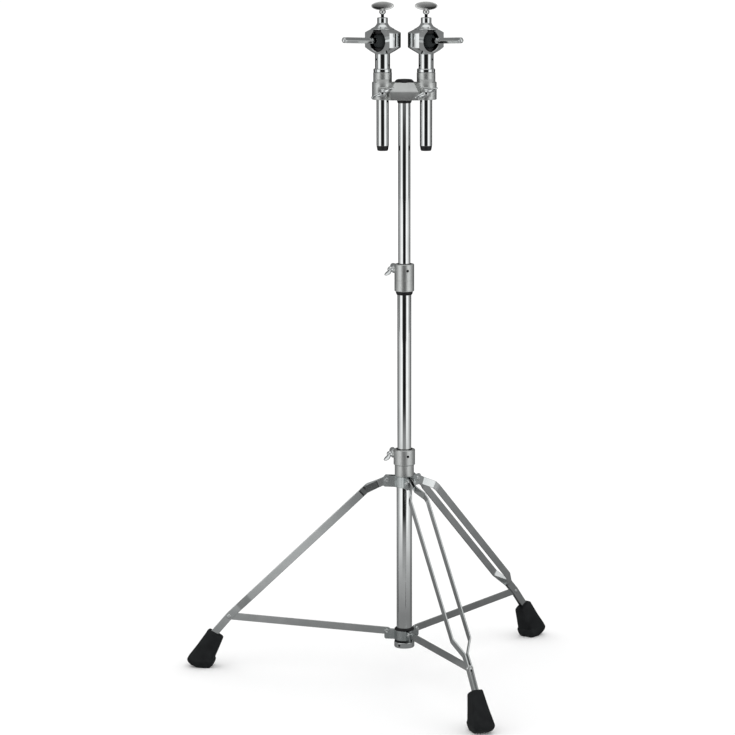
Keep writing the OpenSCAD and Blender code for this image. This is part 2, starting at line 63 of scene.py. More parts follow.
def unit(v):
    """The same direction with length one, row by row."""
    v = np.asarray(v, float)
    return v / np.linalg.norm(v, axis=-1, keepdims=True)


def outward(azimuth):
    """The horizontal direction at an azimuth: (sin a, -cos a, 0)."""
    a = math.radians(azimuth)
    return np.array([math.sin(a), -math.cos(a), 0.0])


def sideways(azimuth):
    """The horizontal direction a quarter turn further: (cos a, sin a, 0)."""
    return outward(azimuth + 90)


def rounded(corners, radii, closed=True, steps=4, hold=0.15):
    """Straight runs joined by arcs. Each arc leaves its runs at radius / tan(half the corner's angle) from the
    corner, and is the circular blend of its two end radii; a point just outside each end holds the run flat."""
    corners = np.asarray(corners, float)
    count = len(corners)
    radii = np.broadcast_to(np.asarray(radii, float), (count,))
    out = []
    for i, corner in enumerate(corners):
        end = not closed and i in (0, count - 1)
        if end or radii[i] <= 0:
            out.append(corner[None])
            continue
        before, after = corners[i - 1] - corner, corners[(i + 1) % count] - corner
        room = 0.48 * min(np.linalg.norm(before), np.linalg.norm(after))
        a, b = unit(before), unit(after)
        half = math.acos(np.clip(a @ b, -1, 1)) / 2
        if half > math.pi / 2 - 0.01:
            out.append(corner[None])
            continue
        run = min(radii[i] / math.tan(half), room)
        centre = corner + unit(a + b) * run / math.cos(half)
        start, stop = corner + a * run - centre, corner + b * run - centre
        turn = math.pi - 2 * half
        t = np.linspace(0, 1, steps + 1)[:, None]
        arc = centre + (np.sin((1 - t) * turn) * start + np.sin(t * turn) * stop) / math.sin(turn)
        if run + hold < room:
            arc = np.vstack([corner + a * (run + hold), arc, corner + b * (run + hold)])
        out.append(arc)
    return np.vstack(out)


def along(path, wanted):
    """Points of a polyline at the wanted distances from its start."""
    path = np.asarray(path, float)
    gone = np.concatenate([[0], np.cumsum(np.linalg.norm(np.diff(path, axis=0), axis=1))])
    return np.stack([np.interp(wanted, gone, path[:, k]) for k in range(path.shape[1])], -1)


def shell(points, wrap_rows=False, poles=False):
    """A closed skin over points[row, column]: columns close on themselves, and rows do too with wrap_rows.
    Otherwise each end is one flat face, or a single point with poles. Faces are turned outwards by volume."""
    rows, cols = points.shape[:2]
    i = np.arange(rows if wrap_rows else rows - 1)[:, None]
    j = np.arange(cols)[None]
    ring, next_ring, next_j = i * cols, (i + 1) % rows * cols, (j + 1) % cols
    quads = np.stack([ring + j, next_ring + j, next_ring + next_j, ring + next_j], -1).reshape(-1, 4)
    verts = points.reshape(-1, 3)
    faces = quads.tolist()
    if poles:
        first, last = np.arange(cols), (rows - 1) * cols + np.arange(cols)
        verts = np.vstack([verts, points[0].mean(0), points[-1].mean(0)])
        tip, tail = len(verts) - 2, len(verts) - 1
        faces += np.stack([np.full(cols, tip), first, np.roll(first, -1)], -1).tolist()
        faces += np.stack([np.roll(last, -1), last, np.full(cols, tail)], -1).tolist()
    elif not wrap_rows:
        faces.append(list(range(cols)))
        faces.append(list(range(rows * cols - 1, (rows - 1) * cols - 1, -1)))
    fan = [(f[0], f[k], f[k + 1]) for f in faces for k in range(1, len(f) - 1)]
    a, b, c = verts[np.array(fan)].transpose(1, 0, 2)
    if np.einsum("ij,ij->i", a, np.cross(b, c)).sum() < 0:
        faces = [f[::-1] for f in faces]
    return verts, faces


def basis(axis):
    """Rows of a right-handed frame whose third row is the axis."""
    axis = unit(axis)
    across = np.array([1.0, 0, 0]) if abs(axis[2]) > 0.99 else unit(np.cross(UP, axis))
    return np.array([across, np.cross(axis, across), axis])


def turned(profile, origin=(0, 0, 0), axis=UP, count=96, scale=(1, 1)):
    """A profile of (radius, height) carried round an axis: (r cos t, r sin t, h) in the axis's frame.
    A profile that starts and ends on the axis closes there; any other is a closed outline round a bore."""
    profile = np.asarray(profile, float)
    solid = profile[0, 0] == 0 and profile[-1, 0] == 0
    t = np.arange(count) * 2 * math.pi / count
    r, h = profile[:, :1], profile[:, 1:]
    local = np.stack([r * np.cos(t) * scale[0], r * np.sin(t) * scale[1], h + 0 * t], -1)
    points = np.asarray(origin, float) + local @ basis(axis)
    if not solid:
        return shell(points, wrap_rows=True)
    verts, faces = shell(points[1:-1], poles=True)
    verts[-2], verts[-1] = points[0, 0], points[-1, 0]
    return verts, faces


def rectangle(width, height, radius, steps=3):
    """A rectangle with rounded corners, as a loop of points."""
    a, b = width / 2, height / 2
    return rounded([(a, -b), (a, b), (-a, b), (-a, -b)], radius, steps=steps)


def carried(path, section, normal, widths=None):
    """A section (across, out) carried along a path: across is normal x tangent, out is tangent x across."""
    path = np.asarray(path, float)
    tangent = unit(np.gradient(path, axis=0))
    across = unit(np.cross(normal, tangent))
    out = unit(np.cross(tangent, across))
    widths = np.ones(len(path)) if widths is None else widths
    x = section[None, :, :1] * widths[:, None, None]
    return shell(path[:, None] + x * across[:, None] + section[None, :, 1:] * out[:, None])


def round_ended(path, half, first=True, last=True):
    """Distances and width shares that end a strap in half circles: share = sqrt(1 - (1 - s / half)^2)."""
    path = np.asarray(path, float)
    gone = np.concatenate([[0], np.cumsum(np.linalg.norm(np.diff(path, axis=0), axis=1))])
    length = gone[-1]
    near = half * (1 - np.cos(np.linspace(0.12, math.pi / 2, 9)))
    inner = gone[(gone > half * first) & (gone < length - half * last)]
    stops = np.concatenate([near if first else [0], inner, (length - near)[::-1] if last else [length]])
    stops = np.unique(np.round(stops, 4))
    from_end = np.minimum(stops if first else half, (length - stops) if last else half)
    share = np.sqrt(np.clip(1 - (1 - np.clip(from_end / half, 0, 1)) ** 2, 0.01, 1))
    return along(path, stops), share


def lofted(sections):
    """A skin through a stack of loops with the same number of points."""
    return shell(np.asarray(sections, float))


def moved(made, offset):
    """A shell shifted by an offset."""
    return made[0] + np.asarray(offset, float), made[1]


def mirrored(made):
    """A shell's mirror image in the plane x = 0, with its faces turned back outwards."""
    return made[0] * [-1, 1, 1], [f[::-1] for f in made[1]]


SHARP = math.radians(32)


def piece(name, shells, body, material, stands_for=()):
    """One named mesh from closed shells, riding on a body; its edges over the sharp angle stay crisp."""
    verts, faces, start = [], [], 0
    for points, polygons in shells:
        verts.append(points)
        faces += [[k + start for k in f] for f in polygons]
        start += len(points)
    mesh = bpy.data.meshes.new(name)
    mesh.from_pydata((np.vstack(verts) * MM).tolist(), [], faces)
    mesh.validate()
    mesh.shade_smooth()
    mesh.set_sharp_from_angle(angle=SHARP)
    mesh.materials.append(material)
    made = bpy.data.objects.new(name, mesh)
    bpy.context.scene.collection.objects.link(made)
    if body:
        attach(made, body)
        if stands_for:
            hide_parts(*stands_for)
    return made


# ---------------------------------------------------------------- materials

def material(name):
    """A new node material, its shader, and short ways to add and join nodes."""
    made = bpy.data.materials.new(name)
    made.use_nodes = True
    tree = made.node_tree
    shader = tree.nodes["Principled BSDF"]

    def add(kind, **values):
        node = tree.nodes.new(kind)
        for key, value in values.items():
            if key in node.inputs:
                node.inputs[key].default_value = value
            else:
                setattr(node, key, value)
        return node
    return made, shader, add, tree.links.new


def noise_on(add, join, scale, detail=3.0, stretch=(1, 1, 1)):
    """Noise over the object's own coordinates, stretched along an axis if wanted."""
    where = add("ShaderNodeTexCoord")
    mapping = add("ShaderNodeMapping")
    mapping.inputs["Scale"].default_value = stretch
    join(where.outputs["Object"], mapping.inputs["Vector"])
    noise = add("ShaderNodeTexNoise", Scale=scale, Detail=detail)
    join(mapping.outputs["Vector"], noise.inputs["Vector"])
    return noise.outputs["Fac"]


def ranged(add, join, value, low, high):
    """A value from 0 to 1 carried linearly onto a range."""
    node = add("ShaderNodeMapRange")
    node.inputs["From Min"].default_value = 0.3
    node.inputs["From Max"].default_value = 0.7
    node.inputs["To Min"].default_value = low
    node.inputs["To Max"].default_value = high
    join(value, node.inputs["Value"])
    return node.outputs["Result"]


def tinted(add, join, value, dark, light):
    """A colour that runs from dark to light with a value."""
    ramp = add("ShaderNodeValToRGB")
    ramp.color_ramp.elements[0].position = 0.3
    ramp.color_ramp.elements[1].position = 0.7
    ramp.color_ramp.elements[0].color = (*dark, 1)
    ramp.color_ramp.elements[1].color = (*light, 1)
    join(value, ramp.inputs["Fac"])
    return ramp.outputs["Color"]


def bumped(add, join, shader, value, height, strength):
    """A bump of the given height, in metres, from a value."""
    bump = add("ShaderNodeBump", Strength=strength, Distance=height)
    join(value, bump.inputs["Height"])
    join(bump.outputs["Normal"], shader.inputs["Normal"])


def metal(name, dark, light, smooth, rough, grain, grain_height, stretch=(1, 1, 1), shade=None):
    """Plated metal: colour and roughness drift with slow noise, and a fine grain gives a bump. With a shade,
    the mesh attribute of that name multiplies the colour, darkening it as painted shade."""
    made, shader, add, join = material(name)
    shader.inputs["Metallic"].default_value = 1.0
    slow = noise_on(add, join, 35.0)
    colour = tinted(add, join, slow, dark, light)
    if shade:
        product = add("ShaderNodeVectorMath", operation="MULTIPLY")
        join(colour, product.inputs[0])
        join(add("ShaderNodeAttribute", attribute_name=shade).outputs["Color"], product.inputs[1])
        colour = product.outputs["Vector"]
    join(colour, shader.inputs["Base Color"])
    fine = noise_on(add, join, grain, 6.0, stretch)
    join(ranged(add, join, fine, smooth, rough), shader.inputs["Roughness"])
    bumped(add, join, shader, fine, grain_height, 0.35)
    return made


def dull(name, dark, light, smooth, rough, grain, grain_height, specular=0.4):
    """Moulded rubber or nylon: near black, with mottling, uneven gloss and a fine moulded grain."""
    made, shader, add, join = material(name)
    shader.inputs["Specular IOR Level"].default_value = specular
    slow = noise_on(add, join, 60.0, 5.0)
    join(tinted(add, join, slow, dark, light), shader.inputs["Base Color"])
    fine = noise_on(add, join, grain, 8.0)
    join(ranged(add, join, slow, smooth, rough), shader.inputs["Roughness"])
    bumped(add, join, shader, fine, grain_height, 0.5)
    return made


CHROME = metal("chrome_plate", (0.70, 0.72, 0.72), (0.80, 0.81, 0.81), 0.045, 0.085, 900.0, 0.000004)
TUBE_CHROME = metal("tube_chrome", (0.74, 0.75, 0.75), (0.82, 0.83, 0.83), 0.04, 0.075, 500.0, 0.000004,
                    (1, 1, 0.08))
# The housing's chrome colour is darkened inside its bore and window by a painted shade attribute.
HOUSING_CHROME = metal("housing_chrome", (0.70, 0.72, 0.72), (0.80, 0.81, 0.81), 0.045, 0.085, 900.0, 0.000004,
                       shade="painted_shade")
BRUSHED = metal("soft_chrome", (0.66, 0.66, 0.65), (0.76, 0.76, 0.75), 0.13, 0.17, 900.0, 0.000006)
STRAP_CHROME = metal("strap_chrome", (0.60, 0.62, 0.62), (0.70, 0.71, 0.71), 0.09, 0.16, 420.0, 0.00001)
SATIN = metal("satin_casting", (0.60, 0.61, 0.60), (0.70, 0.71, 0.70), 0.34, 0.45, 1400.0, 0.00002)
PRESSED = metal("pressed_steel", (0.50, 0.53, 0.53), (0.62, 0.64, 0.64), 0.20, 0.30, 700.0, 0.00002)
NYLON = dull("moulded_nylon", (0.006, 0.006, 0.007), (0.012, 0.012, 0.013), 0.38, 0.50, 900.0, 0.00004, 0.25)
BALL_NYLON = dull("ball_nylon", (0.010, 0.013, 0.014), (0.018, 0.022, 0.023), 0.45, 0.55, 900.0, 0.00003, 0.22)
RUBBER = dull("foot_rubber", (0.005, 0.006, 0.007), (0.011, 0.013, 0.014), 0.52, 0.68, 700.0, 0.00010, 0.22)
BLACK_STEEL = dull("blackened_steel", (0.004, 0.004, 0.005), (0.010, 0.010, 0.011), 0.6, 0.75, 800.0, 0.00002, 0.03)


# ---------------------------------------------------------------- post

def tube(name, body, radius, wall=1.2, axis_x=0.0):
    """A long tube with small round lips, from its CAD node's lower end to its upper end."""
    low, high = span(name)
    outline = [(radius - wall, low[2]), (radius, low[2]), (radius, high[2]), (radius - wall, high[2])]
    profile = rounded(outline, 0.45)
    piece(f"{name}_skin", [turned(profile, (axis_x, 0, 0), count=128)], body, TUBE_CHROME, [name])


BASE_R, MID_R, TOP_R = 14.3, 12.7, 11.1
tube("base_tube", "base", BASE_R)
tube("mid_tube", "mid", MID_R)
tube("top_tube", "top", TOP_R)


def key_screw(azimuth, reach, height, radius=2.4):
    """A small socket screw just proud of a clamp: a round head with a shallow socket, in profile."""
    outline = [(0, 0.15), (1.0, 0.15), (1.1, 0.4), (radius - 0.2, 0.4), (radius, 0.2), (radius, -4), (0, -4)]
    return turned(outline[::-1], outward(azimuth) * reach + UP * height, outward(azimuth), 24)


KEY_AZIMUTH, WING_AZIMUTH, KEY_DROP = 20.0, -110.0, 11.3


def lens(half_length, half_depth, half_thick, origin, length_axis, depth_axis, lean=0.0, count=64):
    """An oval plate with crowned faces and a round rim. Its profile (share, height) is carried round an
    ellipse: height = t (0.62 + 0.38 (1 - share^2)) up to the rim's half circle, less lean x the depth share."""
    share = np.linspace(0, 0.88, 9)
    top = np.stack([share, half_thick * (0.62 + 0.38 * (1 - share ** 2))], -1)
    rim_angle = np.linspace(math.pi / 2, -math.pi / 2, 11)[1:-1]
    rim_height = top[-1, 1]
    rim = np.stack([0.88 + 0.12 * np.cos(rim_angle), rim_height * np.sin(rim_angle)], -1)
    under = top[::-1] * [1, -1]
    profile = np.vstack([top, rim, under])
    t = np.arange(count) * 2 * math.pi / count
    r, h = profile[:, :1], profile[:, 1:]
    length_axis, depth_axis = unit(length_axis), unit(depth_axis)
    normal = np.cross(length_axis, depth_axis)
    flat = r * np.cos(t) * half_length, r * np.sin(t) * half_depth
    h = h * (1 - lean * r * np.sin(t))
    points = np.asarray(origin, float) + flat[0][..., None] * length_axis + flat[1][..., None] * depth_axis
    points = points + h[..., None] * normal
    verts, faces = shell(points[1:-1], poles=True)
    verts[-2], verts[-1] = points[0, 0], points[-1, 0]
    return verts, faces


FLARE = 2.4


def wing(half_length, half_depth, half_thick, origin, length_axis, depth_axis, count=40):
    """Two wings in one: ovals carried along the length u from -1 to 1. Both half sizes close at the tips as
    sqrt(1 - u^6); the half depth swells from a waist at the knuckle as sin^2, the wings thin outwards, and
    their middle line bends away from the screw as u^2."""
    u = np.sin(np.linspace(-1, 1, 37) * math.pi / 2 * 0.985)
    close = np.sqrt(1 - u ** 6)
    depth = half_depth * close * (0.5 + 0.5 * np.sin(np.clip(np.abs(u) * 1.4, 0, 1) * math.pi / 2) ** 2)
    thick = half_thick * close * (1 - 0.35 * np.abs(u))
    t = np.arange(count) * 2 * math.pi / count
    length_axis, depth_axis = unit(length_axis), unit(depth_axis)
    normal = np.cross(length_axis, depth_axis)
    across = (depth[:, None] * np.cos(t))[..., None] * depth_axis
    out = (thick[:, None] * np.sign(np.sin(t)) * np.abs(np.sin(t)) ** 0.7)[..., None] * normal
    middle = np.asarray(origin, float) + (u * half_length)[:, None] * length_axis
    middle = middle + (FLARE * (u ** 2 - 0.2))[:, None] * depth_axis
    return shell(middle[:, None] + across + out, poles=True)


def wing_bolt(name, body, middle, axis, tilt, shank_end, half_thick=2.6, half_length=22.5, half_depth=5.2):
    """A wing bolt: an oval wing whose plane holds the screw's axis, on a waisted knuckle with a flange."""
    axis = unit(axis)
    level = unit(np.cross(UP, axis))
    lean = math.radians(tilt)
    length = level * math.cos(lean) + np.cross(axis, level) * math.sin(lean)
    knuckle = rounded([(0, 5.6), (2.6, 5.2), (4.6, 3.4), (5.4, 0.5), (4.8, -3.5), (6.4, -5), (6.4, -7.4), (0, -7.4)],
                      [0, 1.2, 1.6, 2, 1.5, 0.6, 0.6, 0], closed=False)
    screw = rounded([(0, -7), (2.75, -7), (2.75, shank_end), (0, shank_end)], 0.4, closed=False)
    wings = wing(half_length, half_depth, half_thick, middle, length, axis)
    piece(f"{name}_skin", [wings, turned(knuckle, middle, axis, 48)], body, CHROME, [name])
    piece(f"{name}_screw", [turned(screw, middle, axis, 32)], body, CHROME)


def clamp_boss(reach, height, radius=6.6):
    """A short round boss on a clamp's side, where its wing bolt goes in."""
    outline = rounded([(0, -5), (radius, -5), (radius, 1.2), (0, 1.2)], [0, 0, 0.6, 0], closed=False)
    return turned(outline, outward(WING_AZIMUTH) * reach + UP * height, outward(WING_AZIMUTH), 48)


WING_OUT = 8.6


def tube_clamp(node, body, corners, radii, bore, tube_r, bolt):
    """A clamp casting turned from its outer corners, bored out, with its boss, key screw and wing bolt."""
    low, high = span(node)
    reach = max(r for r, _ in corners)
    outline = [(bore, low[2])] + list(corners) + [(bore, high[2])]
    profile = rounded(outline, [0.3] + list(radii) + [0.5])
    height = high[2] - KEY_DROP
    piece(f"{node}_skin", [turned(profile, count=128), clamp_boss(reach, height)], body, SATIN, [node])
    middle = outward(WING_AZIMUTH) * (reach + WING_OUT) + UP * height
    wing_bolt(bolt, f"{body}_wing", middle, outward(WING_AZIMUTH), -23, tube_r + 0.5 - reach - WING_OUT)
    return key_screw(KEY_AZIMUTH, reach, height)


low, high = span("base_clamp")
STEP_Z = low[2] + 21.0
base_corners = [
    (17.6, low[2]), (17.6, STEP_Z - 0.5), (17.0, STEP_Z), (19.0, STEP_Z), (19.7, STEP_Z + 1.0),
    (19.7, high[2]),
]
base_screw = tube_clamp("base_clamp", "base", base_corners, [0.8, 0.3, 0, 0.4, 0.8, 1.6], 14.9, MID_R,
                        "base_wing_bolt")
ring_low, ring_high = span("end_ring")
end_screw = key_screw(-30, 18.8, ring_low[2] + 5.4, 2.1)
piece("base_key_screws_skin", [base_screw, end_screw], "base", BLACK_STEEL, ["base_key_screws"])

low, high = span("mid_clamp")
SEAM_Z = low[2] + 20.7
mid_corners = [
    (17.9, low[2]), (17.9, SEAM_Z - 0.35), (17.55, SEAM_Z), (17.9, SEAM_Z + 0.35), (17.9, high[2]),
]
mid_screw = tube_clamp("mid_clamp", "mid", mid_corners, [1.6, 0.15, 0.1, 0.15, 1.4], 13.3, TOP_R,
                       "mid_wing_bolt")
piece("mid_key_screw_skin", [mid_screw], "mid", BLACK_STEEL, ["mid_key_screw"])

low, high = span("base_clamp_bush")
bush = rounded([(MID_R + 0.05, low[2]), (14.8, low[2]), (14.8, high[2]), (MID_R + 0.05, high[2])], 0.4)
piece("base_clamp_bush_skin", [turned(bush)], "base", NYLON, ["base_clamp_bush"])

low, high = span("mid_clamp")
skirt_low = span("mid_clamp_bush")[0][2]
skirt = rounded([
    (MID_R + 0.05, skirt_low), (MID_R + 1.1, skirt_low), (15.3, low[2] - 3.4), (15.3, low[2] - 0.1),
    (13.6, low[2] - 0.1), (13.6, low[2] + 5.5), (MID_R + 0.05, low[2] + 5.5)
], [0.2, 0.6, 1.4, 0.3, 0.2, 0.2, 0.2])
core_high = span("mid_clamp_bush")[1][2]
core_low = high[2] - 30
core = rounded([(TOP_R + 0.05, core_low), (13.2, core_low), (13.2, core_high), (TOP_R + 0.05, core_high)], 0.4)
piece("mid_clamp_bush_skin", [turned(skirt), turned(core)], "mid", NYLON, ["mid_clamp_bush"])

end_ring = rounded([
    (BASE_R, ring_low[2]), (17.6, ring_low[2]), (18.75, ring_low[2] + 1.6), (18.75, ring_high[2]),
    (BASE_R, ring_high[2])
], [0.2, 0.8, 0.8, 1.0, 0.2])
piece("end_ring_skin", [turned(end_ring)], "base", CHROME, ["end_ring"])


# ---------------------------------------------------------------- pressed brackets on the base tube

def pressed_ring(ring_r, ear_y, ear_end, z_low, z_high, thick, ear_round):
    """Three bent strips, each from an ear of one leg round a third of the tube to an ear of the next.
    The path in plan is a straight ear, a small bend, an arc of the ring's middle radius, a bend, an ear."""
    strips = []
    for azimuth in LEGS.values():
        ear_in = math.sqrt(ring_r ** 2 - ear_y ** 2)
        turn = math.degrees(math.atan2(ear_y, ear_in))
        sweep = np.linspace(azimuth + turn + 9, azimuth + 120 - turn - 9, 15)
        arc = np.stack([ring_r * outward(a) for a in sweep])
        start = outward(azimuth) * ear_end + sideways(azimuth) * ear_y
        corner = outward(azimuth) * (ear_in + 1.2) + sideways(azimuth) * ear_y
        far = azimuth + 120
        corner_2 = outward(far) * (ear_in + 1.2) - sideways(far) * ear_y
        stop = outward(far) * ear_end - sideways(far) * ear_y
        corners = np.vstack([start, corner, arc, corner_2, stop])
        radii = np.concatenate([[0, 1.6], np.zeros(len(arc)), [1.6, 0]])
        path = rounded(corners, radii, closed=False, steps=5) + UP * (z_low + z_high) / 2
        path, share = round_ended(path, ear_round)
        half = (z_high - z_low) / 2
        widths = 1 - (1 - share) * ear_round / half
        section = rectangle(2 * half, thick, 0.5)
        strips.append(upright(path, section, widths))
    return strips


def upright(path, section, widths):
    """A section carried along a level path with its long side kept vertical."""
    tangent = unit(np.gradient(path, axis=0))
    out = np.cross(tangent, UP)
    tall = section[None, :, :1] * widths[:, None, None] * UP
    return shell(path[:, None] + tall + section[None, :, 1:] * out[:, None])


PIN_R, PIN_HEAD_T, DIMPLE = 2.5, 1.9, 0.7


def headed_pin(origin, axis, half, head_r):
    """A rivet along an axis: a shank between two domed heads, each with a small dimple."""
    end = half + PIN_HEAD_T
    outline = [
        (0, -end + DIMPLE), (1.3, -end + DIMPLE), (2.1, -end), (head_r - 1.0, -end),
        (head_r, -half - 0.5), (head_r, -half), (PIN_R, -half), (PIN_R, half), (head_r, half),
        (head_r, half + 0.5), (head_r - 1.0, end), (2.1, end), (1.3, end - DIMPLE), (0, end - DIMPLE)
    ]
    radii = [0, 0.3, 0.3, 0.8, 0.6, 0.1, 0, 0, 0.1, 0.6, 0.8, 0.3, 0.3, 0]
    return turned(rounded(outline, radii, closed=False, steps=3), origin, axis, 40)


PIVOT_R, PIVOT_Z = 31.0, 370.0
STAY_R, STAY_Z = 32.2, 84.5
RIVET_R, RIVET_Z = 332.0, 99.0
EAR_Y, EAR_T = 6.2, 2.2
STAY_EAR_Y = 2.7

low, high = span("leg_collar")
collar = pressed_ring(15.7, EAR_Y, 38.7, low[2], high[2], 2.4, 4.5)
lining = rounded([(BASE_R, low[2] + 1), (15.2, low[2] + 1), (15.2, high[2] - 1), (BASE_R, high[2] - 1)], 0.3)
piece("leg_collar_skin", collar + [turned(lining)], "base", PRESSED, ["leg_collar"])
piece("collar_pins_skin",
      [headed_pin(outward(a) * PIVOT_R + UP * PIVOT_Z, sideways(a), EAR_Y + EAR_T / 2 + 0.1, 4.6)
       for a in LEGS.values()], "base", CHROME, ["collar_pins"])
spacer = rounded([(2.5, -1.9), (6.9, -1.9), (6.9, 1.9), (2.5, 1.9)], 0.5)
piece("collar_spacers_skin",
      [turned(spacer, outward(a) * PIVOT_R + UP * PIVOT_Z, sideways(a), 48) for a in LEGS.values()],
      "base", NYLON, ["collar_spacers"])

low, high = span("spreader_bracket")
piece("spreader_bracket_skin", pressed_ring(16.6, STAY_EAR_Y, 37.0, low[2] + 0.8, high[2], 2.2, 3.4),
      "spreader", PRESSED, ["spreader_bracket"])
piece("spreader_pins_skin",
      [headed_pin(outward(a) * STAY_R + UP * STAY_Z, sideways(a), STAY_EAR_Y + EAR_T / 2 + 0.1, 4.4)
       for a in LEGS.values()], "spreader", CHROME, ["spreader_pins"])
liner_low, liner_high = span("spreader_liner")
liner = rounded([
    (BASE_R + 0.05, liner_low[2]), (18, liner_low[2]), (18, low[2] - 0.1), (15.4, low[2]), (15.4, high[2]),
    (18, high[2] + 0.1), (18, high[2] + 2.6), (16, liner_high[2]), (BASE_R + 0.05, liner_high[2])
], [0.3, 0.8, 0.3, 0.2, 0.2, 0.3, 0.9, 0.8, 0.4])
piece("spreader_liner_skin", [turned(liner)], "spreader", NYLON, ["spreader_liner"])


# ---------------------------------------------------------------- legs

STRAP_W, STRAP_T, STAY_W = 14.0, 2.5, 13.5
STRAP_IN, STRAP_OUT, STRAP_LOW = 3.5, 16.5, 2.85
BEND_R, BEND_Z = 70.0, 352.0
FOOT_R, FOOT_Z = 366.0, 59.0


def leg_point(azimuth, side, r, y, z):
    """A point of a leg from its radius, distance from the leg's middle plane and height."""
    return outward(azimuth) * r + sideways(azimuth) * y * side + UP * z


def leg_strap(azimuth, side):
    """One strap of a leg: flat at the collar, set outwards, bent down, set inwards again and run to the foot."""
    pivot, bend = np.array([PIVOT_R, PIVOT_Z]), np.array([BEND_R, BEND_Z])
    rivet, foot = np.array([RIVET_R, RIVET_Z]), np.array([FOOT_R, FOOT_Z])
    first, long = unit(bend - pivot), unit(rivet - bend)
    stops = [
        (pivot - first * STRAP_W / 2, STRAP_IN, 0), (pivot + first * 20, STRAP_IN, 4),
        (bend, STRAP_OUT - 2.5, 4), (bend + long * 9, STRAP_OUT, 10), (rivet - long * 58, STRAP_OUT, 8),
        (rivet - long * 27, STRAP_LOW, 8), (rivet, STRAP_LOW, 30), (foot, STRAP_LOW, 0)
    ]
    corners = [leg_point(azimuth, side, p[0], y, p[1]) for p, y, _ in stops]
    path = rounded(corners, [radius for *_, radius in stops], closed=False, steps=8, hold=0.6)
    path, widths = round_ended(path, STRAP_W / 2, last=False)
    return carried(path, rectangle(STRAP_W, STRAP_T, 0.55), sideways(azimuth), widths)


def stay_strap(azimuth):
    """A stay: one flat strap with round ends, from the spreader bracket to the leg's rivet."""
    inner = leg_point(azimuth, 1, STAY_R, 0, STAY_Z)
    outer = leg_point(azimuth, 1, RIVET_R, 0, RIVET_Z)
    run = unit(outer - inner) * STAY_W / 2
    path, widths = round_ended([inner - run, outer + run], STAY_W / 2)
    return carried(path, rectangle(STAY_W, STRAP_T, 0.55), sideways(azimuth), widths)


def rivet_head(azimuth, side):
    """The domed stub of a stay's rivet on the outside of one strap."""
    face = STRAP_LOW + STRAP_T / 2
    outline = rounded([(0, -2.4), (2.4, -2.4), (2.4, 0), (4.3, 0), (4.3, 0.7), (3.0, 2.0), (0, 2.2)],
                      [0, 0, 0, 0.2, 0.6, 1.4, 0], closed=False)
    origin = leg_point(azimuth, side, RIVET_R, face, RIVET_Z)
    return turned(outline, origin, sideways(azimuth) * side, 36)


FOOT_LOOPS = [
    # inner end (r, z), outer end (r, z), half width
    ((350.5, 60.8), (368.5, 70.2), 7.2),
    ((346.8, 58.6), (371.8, 71.4), 9.6),
    ((345.4, 56.4), (373.6, 70.4), 10.6),
    ((345.9, 54.0), (374.8, 68.0), 11.1),
    ((353.9, 35.5), (391.8, 44.0), 14.6),
    ((361.4, 19.0), (407.2, 24.0), 18.2),
    ((362.6, 16.4), (409.6, 20.0), 18.9),
    ((361.7, 14.6), (411.2, 17.2), 19.6),
    ((361.4, 12.4), (411.6, 14.4), 19.8),
    ((362.6, 8.4), (410.0, 10.4), 19.2),
    ((364.6, 4.2), (405.8, 6.0), 17.8),
    ((366.6, 1.0), (400.4, 2.6), 16.6),
    ((367.9, 0.0), (396.0, 0.8), 15.6),
    ((369.0, 0.0), (391.0, 0.0), 14.8),
]


def foot_block(azimuth):
    """A rubber foot: rounded rectangular loops from its narrow neck down to its broad sole."""
    t = np.arange(72) * 2 * math.pi / 72
    power = 0.36
    across = np.sign(np.cos(t)) * np.abs(np.cos(t)) ** power
    along_edge = np.sign(np.sin(t)) * np.abs(np.sin(t)) ** power
    loops = []
    for inner, outer, half in FOOT_LOOPS:
        share = (1 + across) / 2
        r = inner[0] + (outer[0] - inner[0]) * share
        z = inner[1] + (outer[1] - inner[1]) * share
        loops.append(outward(azimuth) * r[:, None] + sideways(azimuth) * (along_edge * half)[:, None]
                     + UP * z[:, None])
    return lofted(loops)


for leg, azimuth in LEGS.items():
    piece(f"{leg}_leg_straps_skin", [leg_strap(azimuth, -1), leg_strap(azimuth, 1)], f"{leg}_leg",
          STRAP_CHROME, [f"{leg}_leg_straps"])
    piece(f"{leg}_leg_rivets_skin", [rivet_head(azimuth, -1), rivet_head(azimuth, 1)], f"{leg}_leg",
          CHROME, [f"{leg}_leg_rivets"])
    piece(f"{leg}_stay_skin", [stay_strap(azimuth)], f"{leg}_stay", STRAP_CHROME, [f"{leg}_stay"])
    piece(f"{leg}_foot_skin", [foot_block(azimuth)], f"{leg}_leg", RUBBER, [f"{leg}_foot"])


# ---------------------------------------------------------------- twin bracket

low, high = span("twin_bracket")
BRACKET_Z, BRACKET_TOP = low[2], high[2]
ARM_X = 39.0
LUG_Z, ARM_WING_Y = 1081.0, -34.0


def level_loop(points, radius, z):
    """A rounded outline in plan at one height."""
    loop = rounded(points, radius, steps=3)
    return np.column_stack([loop, np.full(len(loop), z)])


def hub_outline(half_front, half_side, front):
    """An elongated octagon: a flat front and back with corner flats between."""
    return [(half_front, -front), (half_side, -front + 8), (half_side, front - 8), (half_front, front),
            (-half_front, front), (-half_side, front - 8), (-half_side, -front + 8), (-half_front, -front)]


